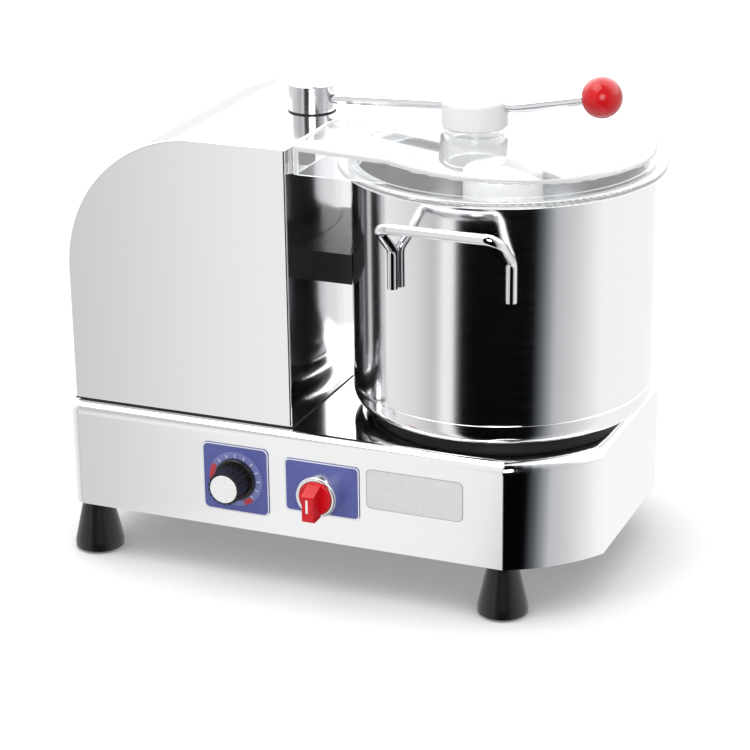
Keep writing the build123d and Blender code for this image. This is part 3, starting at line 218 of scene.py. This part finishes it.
nodeFinish = {
    # folded and pressed sheet, rods and the clear lid
    "housing_shell": hoodSteel, "rear_vent_cover": hoodSteel,
    "base_shell": baseSteel, "base_floor": baseSteel,
    "bowl": bowlSteel, "bowl_base": bowlSteel, "bowl_tube": bowlSteel,
    "bowl_handle_front": rodSteel, "bowl_handle_rear": rodSteel,
    "lid": lidPlastic, "lid_side": lidPlastic, "lid_rim": lidPlastic, "lid_chimney": lidPlastic,
    # clamp arm and its post
    "clamp_arm": rodSteel, "arm_head": headSteel, "arm_post": spindleSteel, "post_bush": spindleSteel,
    "interlock_cam": spindleSteel, "interlock_switch": blackPlastic, "lid_magnet": blackPlastic,
    "clamp_knob": whiteAcetal, "ball_grip": ballRed,
    # controls
    "speed_plate": violetPlate, "selector_plate": violetPlate, "label_plate": labelPaint,
    "speed_knob": knobBlack, "speed_knob_cap": whiteCap, "potentiometer": satinAluminium,
    "potentiometer_shaft": spindleSteel, "selector_bezel": bezelMetal,
    "selector_barrel": blackPlastic, "selector_contacts": blackPlastic,
    "selector_handle": selectorRed, "selector_shaft": blackPlastic, "control_board": boardGreen,
    # blade unit, drive and motor
    "blade_hub": headSteel, "blade_rings": headSteel, "hub_cap": whiteAcetal,
    "lower_blade": bladeSteel, "upper_blade": bladeSteel,
    "spindle": spindleSteel, "spindle_bearings": spindleSteel, "bearing_housing": castAluminium,
    "driven_pulley": castAluminium, "motor_pulley": castAluminium, "drive_belt": beltRubber,
    "motor_body": castAluminium, "motor_end_cap": castAluminium, "motor_shaft": spindleSteel,
    # feet, seals and fasteners
    "foot_front_left": footRubber, "foot_front_right": footRubber,
    "foot_rear_left": footRubber, "foot_rear_right": footRubber,
    "bowl_seat_ring": seatRubberAndGapShade, "gaskets": seatRubberAndGapShade, "spindle_seal": seatRubberAndGapShade,
    "bowl_guide_block": blackPlastic, "cable_gland": blackPlastic,
    "foot_bolts": zincSteel, "machine_screws": zincSteel,
}
bodies = frame["record"]["behaviour"]["bodies"]
bodyOf = {nodeName: body for body, nodeNames in bodies.items() for nodeName in nodeNames}
slotOf = {entry["node"]: entry["material_slot"] for entry in frame["record"]["subparts"]}
for nodeName, finish in nodeFinish.items():
    mesh = frame["nodes"][nodeName].data
    mesh.materials.clear()
    mesh.materials.append(finish)


def keepPiece(mesh, name, body, material):
    # a finished mesh becomes a piece that rides on its body
    piece = bpy.data.objects.new(name, mesh)
    bpy.context.scene.collection.objects.link(piece)
    mesh.materials.clear()
    mesh.materials.append(material)
    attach(piece, body)
    return piece


dressing = {
    "weld": 0.000002,              # points nearer than this are one point
    "sharpAbove": 28,              # degrees between two faces at a real edge
}


def weldPoints(shell):
    bmesh.ops.remove_doubles(shell, verts=shell.verts, dist=dressing["weld"])


def uniteNodes(nodeNames):
    # CAD parts that are one moulding or one pressing, united into a single closed mesh
    parts = []
    for nodeName in nodeNames:
        part = bpy.data.objects.new("uniting " + nodeName, frame["nodes"][nodeName].data.copy())
        bpy.context.scene.collection.objects.link(part)
        loose = bmesh.new()
        loose.from_mesh(part.data)
        weldPoints(loose)
        loose.to_mesh(part.data)
        loose.free()
        parts.append(part)
    for part in parts[1:]:
        union = parts[0].modifiers.new("with " + part.name, "BOOLEAN")
        union.operation = "UNION"
        union.solver = "EXACT"
        union.object = part
    depsgraph = bpy.context.evaluated_depsgraph_get()
    united = bpy.data.meshes.new_from_object(parts[0].evaluated_get(depsgraph))
    for part in parts:
        bpy.data.objects.remove(part)
    return united


def smoothShell(*nodeNames):
    # a merged copy of one node or of several, smooth but for its real edges, stands for them
    first = nodeNames[0]
    shell = bmesh.new()
    shell.from_mesh(frame["nodes"][first].data if len(nodeNames) == 1 else uniteNodes(nodeNames))
    weldPoints(shell)
    bmesh.ops.dissolve_degenerate(shell, edges=shell.edges, dist=dressing["weld"])
    for face in shell.faces:
        face.smooth = True
    for edge in shell.edges:
        bend = edge.calc_face_angle(0) if len(edge.link_faces) == 2 else pi
        edge.smooth = bend < radians(dressing["sharpAbove"])
    mesh = bpy.data.meshes.new(first + "_dressed")
    shell.to_mesh(mesh)
    shell.free()
    piece = keepPiece(mesh, first + "_dressed", bodyOf[first], nodeFinish[first])
    even = piece.modifiers.new("flat faces keep their normals", "WEIGHTED_NORMAL")
    even.keep_sharp = True
    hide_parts(*nodeNames)
    return piece


smoothNodes = [
    "housing_shell", "base_shell", "bowl_handle_front", "bowl_handle_rear", "clamp_arm",
    "arm_head", "foot_front_left", "foot_front_right", "foot_rear_left", "foot_rear_right",
    "clamp_knob", "hub_cap", "ball_grip", "speed_knob", "speed_knob_cap", "selector_bezel",
    "selector_handle", "blade_hub", "blade_rings", "bowl_guide_block",
    "bowl_seat_ring", "selector_plate", "speed_plate", "label_plate", "spindle", "cable_gland",
]
for nodeName in smoothNodes:
    smoothShell(nodeName)
smoothShell("bowl", "bowl_base", "bowl_tube")
lidShell = smoothShell("lid", "lid_side", "lid_rim", "lid_chimney")
lidShell.visible_shadow = False    # clear plastic lets the light through to the bowl
lidShell.visible_diffuse = False
print("smooth shells made:", len(smoothNodes) + 2)

# printing on the front: the speed dial and the marks on the two controls, and lines along the plates' edges:
# the white ones on the violet plates are painted highlights, the one on the label a thin grey line
# white ink for the dial's ticks, which also makes the painted highlights along the violet plates' edges
inkWhiteAndEdgeHighlight = printedPlate("white ink and painted edge highlight", "#F6F6F8", "#F0F0F3")
inkLilac = printedPlate("lilac ink", "#7F86C0", "#7A81BA")
inkRed = printedPlate("red ink", "#C8414E", "#C03C49")
inkGrey = printedPlate("grey ink", "#A9AAAC", "#A3A4A6")
filmThickness = 0.00006
borders = {
    "edgeGap": 0.0001,             # from the plate's edge to the edge line
    "cornerSteps": 6,
    "plates": {                    # the corner's radius, the line's width and its material; the white lines are painted highlights
        "speed_plate": (0.004, 0.0008, inkWhiteAndEdgeHighlight),
        "selector_plate": (0.003, 0.0008, inkWhiteAndEdgeHighlight),
        "label_plate": (0.004, 0.0004, inkGrey),
    },
}
speedDial = {                      # radii in metres, angles in degrees clockwise from the top
    "ring": (0.0157, 0.0205),
    "ringSteps": 72,
    "ticks": (0.0160, 0.0188),
    "tickWidth": 0.00055,
    "tickAngles": [-45 + 22.5 * number for number in range(9)],
    "zones": (0.0164, 0.0203),
    "zoneAngles": ((-97, -60), (138, 160)),
    "zoneSteps": 8,
}
knobSpot = {"fromMiddle": 0.0143, "angle": -128, "radius": 0.0008, "skirt": 0.003, "steps": 20}
gripLine = {"width": 0.0017, "top": 0.0036, "bottom": -0.0062, "side": -0.0006}


def frontOf(nodeName):
    # the middle of a node's front as a point on its foremost plane, and its half width and half height
    low, high = (Vector(corner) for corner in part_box(nodeName))
    middle, half = (low + high) / 2, (high - low) / 2
    return Vector((middle.x, low.y, middle.z)), half.x, half.z


def clockwise(angle):
    # turns a shape about the Y axis, as seen from the front
    return Matrix.Rotation(radians(angle), 4, "Y")


def frontSheet(film, place, halfWidth, halfHeight):
    # an upright rectangle that faces the front; place is the matrix that its middle takes
    upright = Matrix.Rotation(pi / 2, 4, "X") @ Matrix.Diagonal((halfWidth, halfHeight, 1, 1))
    bmesh.ops.create_grid(film, x_segments=1, y_segments=1, size=1.0, matrix=place @ upright)


def ringPart(film, middle, reach, start, end, steps):
    # a short radial edge, spun clockwise about the dial's middle
    edge = [film.verts.new(middle + clockwise(start) @ Vector((0, 0, radius))) for radius in reach]
    edge.append(film.edges.new(edge))
    bmesh.ops.spin(film, geom=edge, cent=middle, axis=(0, 1, 0), angle=radians(end - start), steps=steps,
                   use_merge=end - start == 360)


def keepFilm(film, name, body, material):
    # a flat film, whether ink or a painted edge highlight, gets its thickness towards the front and becomes
    # a closed piece
    raised = bmesh.ops.extrude_face_region(film, geom=film.faces[:])
    moved = [part for part in raised["geom"] if isinstance(part, bmesh.types.BMVert)]
    bmesh.ops.translate(film, verts=moved, vec=(0, -filmThickness, 0))
    bmesh.ops.recalc_face_normals(film, faces=film.faces)
    mesh = bpy.data.meshes.new(name)
    film.to_mesh(mesh)
    film.free()
    keepPiece(mesh, name, body, material)


# a line just inside a plate's edge; in white it is a painted highlight along the edge
def makeBorder(nodeName, corner, width, ink):
    middle, halfWidth, halfHeight = frontOf(nodeName)
    halfWidth -= borders["edgeGap"]
    halfHeight -= borders["edgeGap"]
    film = bmesh.new()
    frontSheet(film, Matrix.Translation(middle), halfWidth, halfHeight)
    bmesh.ops.bevel(film, geom=film.verts[:], offset=corner, offset_type="OFFSET", affect="VERTICES",
                    segments=borders["cornerSteps"], profile=0.5, material=-1)
    whole = film.faces[:]
    drawn = bmesh.ops.extrude_edge_only(film, edges=film.edges[:])
    inner = [part for part in drawn["geom"] if isinstance(part, bmesh.types.BMVert)]
    shrink = (1 - width / halfWidth, 1, 1 - width / halfHeight)
    bmesh.ops.scale(film, verts=inner, vec=shrink, space=Matrix.Translation(-middle))
    bmesh.ops.delete(film, geom=whole, context="FACES_ONLY")
    keepFilm(film, nodeName + "_border", bodyOf[nodeName], ink)


def makeSpeedDial():
    body, slot = bodyOf["speed_plate"], slotOf["speed_plate"]
    onPlate = frontOf("speed_plate")[0]
    onRing = onPlate - Vector((0, filmThickness, 0))
    ring = bmesh.new()
    ringPart(ring, onPlate, speedDial["ring"], 0, 360, speedDial["ringSteps"])
    keepFilm(ring, "speed_dial_ring", body, inkLilac)
    inner, outer = speedDial["ticks"]
    ticks = bmesh.new()
    for angle in speedDial["tickAngles"]:
        outward = Matrix.Translation((0, 0, (inner + outer) / 2))
        place = Matrix.Translation(onRing) @ clockwise(angle) @ outward
        frontSheet(ticks, place, speedDial["tickWidth"] / 2, (outer - inner) / 2)
    keepFilm(ticks, "speed_dial_ticks", body, inkWhiteAndEdgeHighlight)
    zones = bmesh.new()
    for start, end in speedDial["zoneAngles"]:
        ringPart(zones, onRing, speedDial["zones"], start, end, speedDial["zoneSteps"])
    keepFilm(zones, "speed_dial_zones", body, inkRed)


def makeKnobSpot():
    # a white spot on the front of the skirt, which shows how far the knob is turned
    middle = frontOf("speed_knob")[0]
    middle.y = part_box("speed_knob")[1][1] - knobSpot["skirt"]
    middle += clockwise(knobSpot["angle"]) @ Vector((0, 0, knobSpot["fromMiddle"]))
    place = Matrix.Translation(middle) @ Matrix.Rotation(pi / 2, 4, "X")
    spot = bmesh.new()
    bmesh.ops.create_circle(spot, cap_ends=True, cap_tris=True, segments=knobSpot["steps"],
                            radius=knobSpot["radius"], matrix=place)
    keepFilm(spot, "speed_knob_spot", bodyOf["speed_knob"], whiteCap)


def makeGripLine():
    # a white line down the front of the red grip, set from the bezel's axis
    middle = frontOf("selector_handle")[0]
    axisHeight = frontOf("selector_bezel")[0].z
    middle.x += gripLine["side"]
    middle.z = axisHeight + (gripLine["top"] + gripLine["bottom"]) / 2
    line = bmesh.new()
    frontSheet(line, Matrix.Translation(middle), gripLine["width"] / 2,
               (gripLine["top"] - gripLine["bottom"]) / 2)
    keepFilm(line, "selector_grip_line", bodyOf["selector_handle"], whiteCap)


for nodeName, (corner, width, ink) in borders["plates"].items():
    makeBorder(nodeName, corner, width, ink)
makeSpeedDial()
makeKnobSpot()
makeGripLine()
print("printing made")

# the studio: a white floor, the surroundings that polished metal mirrors, two lamps and the camera
studio = {
    "floorSize": 8.0,
    "paintedFloorShadow": {                 # painted shadow: the floor's colour darkened where the machine stands close over it
        "distance": 0.12, "samples": 16, "span": (0.25, 0.93), "dark": "#A0A0A2", "open": "#FFFFFF",
    },
    "floorGlow": 1.5,              # what the camera sees the floor give off
    "glowShare": 0.45,
    "ceiling": 3.0,                # how much brighter the light tent's roof is in reflections
    "ceilingFrom": (0.1, 0.3),     # the slope of a ray at which the roof begins, and is at its full strength
    "backFrom": (-0.2, 0.3),       # the same towards the back, where the roof is
    "diffuseLight": 0.62,          # what the surroundings give to matt surfaces
    "throughLid": 1.0,             # how much of the dark panels is hidden from rays that passed the lid
    "panels": [                    # the surroundings as metal sees them: degrees from the front to the right
        (-180, "#FFFFFF"), (-90, "#FAFAFB"), (-50, "#E2E2E3"), (-34, "#C6C6C7"), (-30, "#D3D3D4"),
        (-25.5, "#FAFAFA"), (-17.5, "#F9F9F9"), (-16, "#8A8C90"), (-12, "#040405"), (43, "#040405"),
        (49, "#565B60"), (57, "#A2A6AA"), (60, "#C2C2C5"), (75, "#D6D6D8"), (100, "#FFFFFF"),
        (180, "#FFFFFF"),
    ],
    "lamps": [
        {"name": "overhead softbox", "place": (-0.5, -0.5, 1.9), "aim": (0, 0, 0.15), "size": (1.6, 1.2),
         "watts": 16},
        {"name": "front softbox", "place": (0.8, -1.9, 1.0), "aim": (0, 0, 0.1), "size": (0.9, 0.9),
         "watts": 14},
    ],
}


def makeFloor():
    plane = bmesh.new()
    bmesh.ops.create_grid(plane, x_segments=1, y_segments=1, size=studio["floorSize"] / 2)
    mesh = bpy.data.meshes.new("floor")
    plane.to_mesh(mesh)
    plane.free()
    floor = bpy.data.objects.new("floor", mesh)
    bpy.context.scene.collection.objects.link(floor)
    material = bpy.data.materials.new("white sweep with painted shadow")
    material.use_nodes = True
    tree = material.node_tree
    tree.nodes.clear()
    # white paper, daylight-white everywhere, with a painted shadow that darkens its colour where the machine
    # stands close over it
    near = studio["paintedFloorShadow"]
    seen = addNode(tree, "ShaderNodeLightPath")
    closeness = addNode(tree, "ShaderNodeAmbientOcclusion",
                        {"Distance": near["distance"], "samples": near["samples"]})
    shade = addNode(tree, "ShaderNodeValToRGB", Fac=closeness.outputs["AO"])
    for stop, position, colour in zip(shade.color_ramp.elements, near["span"], (near["dark"], near["open"])):
        stop.position = position
        stop.color = hexColour(colour)
    paper = addNode(tree, "ShaderNodeBsdfDiffuse", Color=shade.outputs["Color"])
    glow = addNode(tree, "ShaderNodeMath", {"operation": "MULTIPLY", 1: studio["floorGlow"]},
                   _0=seen.outputs["Is Camera Ray"])
    lift = addNode(tree, "ShaderNodeEmission", Color=shade.outputs["Color"], Strength=glow.outputs[0])
    lifted = addNode(tree, "ShaderNodeMixShader", {"Fac": studio["glowShare"]},
                     _1=paper.outputs[0], _2=lift.outputs[0])
    addNode(tree, "ShaderNodeOutputMaterial", Surface=lifted.outputs[0])
    mesh.materials.append(material)
    floor.visible_glossy = False


def panelColour(tree, direction):
    # the colour of the tent's wall in a ray's compass direction
    front = addNode(tree, "ShaderNodeMath", {"operation": "MULTIPLY", 1: -1.0}, _0=direction.outputs["Y"])
    angle = addNode(tree, "ShaderNodeMath", {"operation": "ARCTAN2"}, _0=direction.outputs["X"],
                    _1=front.outputs[0])
    turn = addNode(tree, "ShaderNodeMapRange", {"From Min": -pi, "From Max": pi}, Value=angle.outputs[0])
    ramp = addNode(tree, "ShaderNodeValToRGB", Fac=turn.outputs["Result"])
    stops = ramp.color_ramp.elements
    while len(stops) < len(studio["panels"]):
        stops.new(0.5)
    for stop, (compass, colour) in zip(stops, studio["panels"]):
        stop.position = (compass + 180) / 360
        stop.color = hexColour(colour)
    return ramp.outputs["Color"]


def roofGain(tree, direction):
    # the walls' strength rises to the roof's where a ray climbs towards the back
    lowest, highest = studio["ceilingFrom"]
    above = addNode(tree, "ShaderNodeMapRange",
                    {"From Min": lowest, "From Max": highest, "To Min": 1.0, "To Max": studio["ceiling"]},
                    Value=direction.outputs["Z"])
    nearest, farthest = studio["backFrom"]
    behind = addNode(tree, "ShaderNodeMapRange", {"From Min": nearest, "From Max": farthest},
                     Value=direction.outputs["Y"])
    gain = addNode(tree, "ShaderNodeMix", {"data_type": "FLOAT", "A": 1.0}, Factor=behind.outputs["Result"],
                   B=above.outputs["Result"])
    return gain.outputs["Result"]


def makeSurroundings():
    world = bpy.data.worlds.new("studio")
    bpy.context.scene.world = world
    world.use_nodes = True
    tree = world.node_tree
    tree.nodes.clear()
    ray = addNode(tree, "ShaderNodeLightPath")
    place = addNode(tree, "ShaderNodeTexCoord")
    direction = addNode(tree, "ShaderNodeSeparateXYZ", Vector=place.outputs["Generated"])
    whiteWall = {"Color": hexColour("#FFFFFF"), "Strength": 1.0}
    plain = addNode(tree, "ShaderNodeBackground", {**whiteWall, "Strength": studio["diffuseLight"]})
    panels = addNode(tree, "ShaderNodeBackground", Color=panelColour(tree, direction),
                     Strength=roofGain(tree, direction))
    white = addNode(tree, "ShaderNodeBackground", whiteWall)
    # what the lid's clear plastic passes on is seen in the white tent and not in the dark panels
    passed = addNode(tree, "ShaderNodeMath", {"operation": "GREATER_THAN", 1: 0.5},
                     _0=ray.outputs["Transmission Depth"])
    share = addNode(tree, "ShaderNodeMath", {"operation": "MULTIPLY", 1: studio["throughLid"]},
                    _0=passed.outputs[0])
    softened = addNode(tree, "ShaderNodeMixShader", Fac=share.outputs[0], _1=panels.outputs[0],
                       _2=white.outputs[0])
    inMetal = addNode(tree, "ShaderNodeMixShader", Fac=ray.outputs["Is Glossy Ray"], _1=plain.outputs[0],
                      _2=softened.outputs[0])
    clear = addNode(tree, "ShaderNodeMath", {"operation": "MAXIMUM"}, _0=ray.outputs["Is Camera Ray"],
                    _1=ray.outputs["Is Transmission Ray"])
    seen = addNode(tree, "ShaderNodeMixShader", Fac=clear.outputs[0], _1=inMetal.outputs[0],
                   _2=white.outputs[0])
    addNode(tree, "ShaderNodeOutputWorld", Surface=seen.outputs[0])


def addLamp(name, place, aim, size, watts):
    light = bpy.data.lights.new(name, "AREA")
    light.shape = "RECTANGLE"
    light.size, light.size_y = size
    light.energy = watts
    lamp = bpy.data.objects.new(name, light)
    bpy.context.scene.collection.objects.link(lamp)
    lamp.location = place
    lamp.rotation_euler = (Vector(aim) - Vector(place)).to_track_quat("-Z", "Y").to_euler()


viewpoint = {                      # angles in degrees, sensor and lens in millimetres
    "place": (0.64470, -1.55921, 0.76546),
    "azimuth": 22.62,
    "elevation": 20.77,
    "roll": -0.78,
    "sensor": 36,
    "lens": 118.85,
}


def makeCamera():
    turn, rise, roll = (radians(viewpoint[key]) for key in ("azimuth", "elevation", "roll"))
    ahead = Vector((-sin(turn) * cos(rise), cos(turn) * cos(rise), -sin(rise)))
    level = Vector((cos(turn), sin(turn), 0))
    upright = level.cross(ahead)
    right = cos(roll) * level + sin(roll) * upright
    up = cos(roll) * upright - sin(roll) * level
    data = bpy.data.cameras.new("camera")
    data.sensor_width = viewpoint["sensor"]
    data.lens = viewpoint["lens"]
    camera = bpy.data.objects.new("camera", data)
    bpy.context.scene.collection.objects.link(camera)
    facing = Matrix((right, up, -ahead)).transposed().to_4x4()
    camera.matrix_world = Matrix.Translation(viewpoint["place"]) @ facing
    bpy.context.scene.camera = camera


makeFloor()
makeSurroundings()
for lamp in studio["lamps"]:
    addLamp(**lamp)
makeCamera()
bpy.context.scene.view_settings.view_transform = "Standard"
print("studio made")
